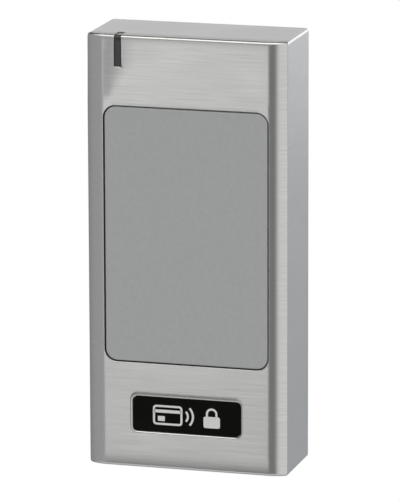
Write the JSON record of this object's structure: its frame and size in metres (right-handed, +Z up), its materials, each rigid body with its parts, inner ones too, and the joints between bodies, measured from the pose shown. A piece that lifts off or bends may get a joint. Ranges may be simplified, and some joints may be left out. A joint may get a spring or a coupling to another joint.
{
  "type": "rfid card reader",
  "caption": "Slim wall RFID card reader: metal case with flush antenna window, status light and name plate, hung on a steel wall plate by hooks and a captive security screw.",
  "frame": {"origin": "centre of the wall plate's back face, on the wall", "axes": "+Z up, -Y out of the wall towards the user, +X to the right as seen from the front"},
  "size_m": [0.0482, 0.021, 0.103],
  "materials": {
    "plated_steel": "zinc plated, satin",
    "satin_metal": "satin nickel, finely brushed",
    "window_plastic": "satin silver grey",
    "seal_rubber": "matte",
    "smoked_plastic": "smoked, glossy",
    "black_plate": "black, semi-gloss",
    "tape": "matte",
    "ivory_plastic": "moulded",
    "copper_wire": "enamelled",
    "tinned_pins": "tinned",
    "ferrite": "matte",
    "board_laminate": "green solder mask",
    "chip_plastic": "matte moulded",
    "bright_can": "drawn, bright",
    "passive_ceramic": "matte",
    "black_plastic": "fine texture",
    "led_resin": "clear resin",
    "spring_steel": "drawn wire",
    "nylon": "natural",
    "screw_steel": "stainless"
  },
  "bodies": {
    "wall_mount": {"wall_plate": "plated_steel"},
    "reader": {"front_case": "satin_metal", "window_panel": "window_plastic", "window_seal": "seal_rubber", "status_lens": "smoked_plastic", "name_plate": "black_plate", "name_plate_tape": "tape", "coil_carrier": "ivory_plastic", "antenna_coil": "copper_wire", "coil_pins": "tinned_pins", "ferrite_sheet": "ferrite", "circuit_board": "board_laminate", "microcontroller": "chip_plastic", "reader_chip": "chip_plastic", "crystal": "bright_can", "voltage_regulator": "chip_plastic", "electrolytic_capacitors": "bright_can", "chip_passives": "passive_ceramic", "protection_diodes": "chip_plastic", "buzzer": "black_plastic", "indicator_leds": "led_resin", "cable_header": "ivory_plastic", "tamper_switch": "black_plastic", "tamper_spring": "spring_steel", "board_screws": "screw_steel", "rear_cover": "black_plastic", "cover_gasket": "seal_rubber", "cover_screws": "screw_steel", "cable_grommet": "seal_rubber"},
    "plunger": {"tamper_plunger": "nylon"},
    "retainer": {"screw_retainer": "nylon"},
    "security_screw": {"lock_screw": "screw_steel"}
  },
  "joints": [
    {"name": "case_swing", "type": "hinge", "parent": "wall_mount", "child": "reader", "pos_m": [0, -0.002, 0.0483], "axis": [-1, 0, 0], "range_deg": [0, 12]},
    {"name": "tamper_travel", "type": "slide", "parent": "reader", "child": "plunger", "axis": [0, 1, 0], "range_m": [0, 0.0012], "stiffness_N_per_m": 60, "springref_m": 0.004, "deforming": ["tamper_spring"]},
    {"name": "lock_screw_travel", "type": "slide", "parent": "reader", "child": "retainer", "axis": [0, 0, 1], "range_m": [0, 0.003]},
    {"name": "lock_screw_turn", "type": "hinge", "parent": "retainer", "child": "security_screw", "pos_m": [0, -0.007, -0.0413], "axis": [0, 0, 1], "range_deg": [0, 2160]}
  ],
  "couplings": [
    {"joint": "lock_screw_turn", "follows": "lock_screw_travel", "rad_per_m": 12566}
  ]
}
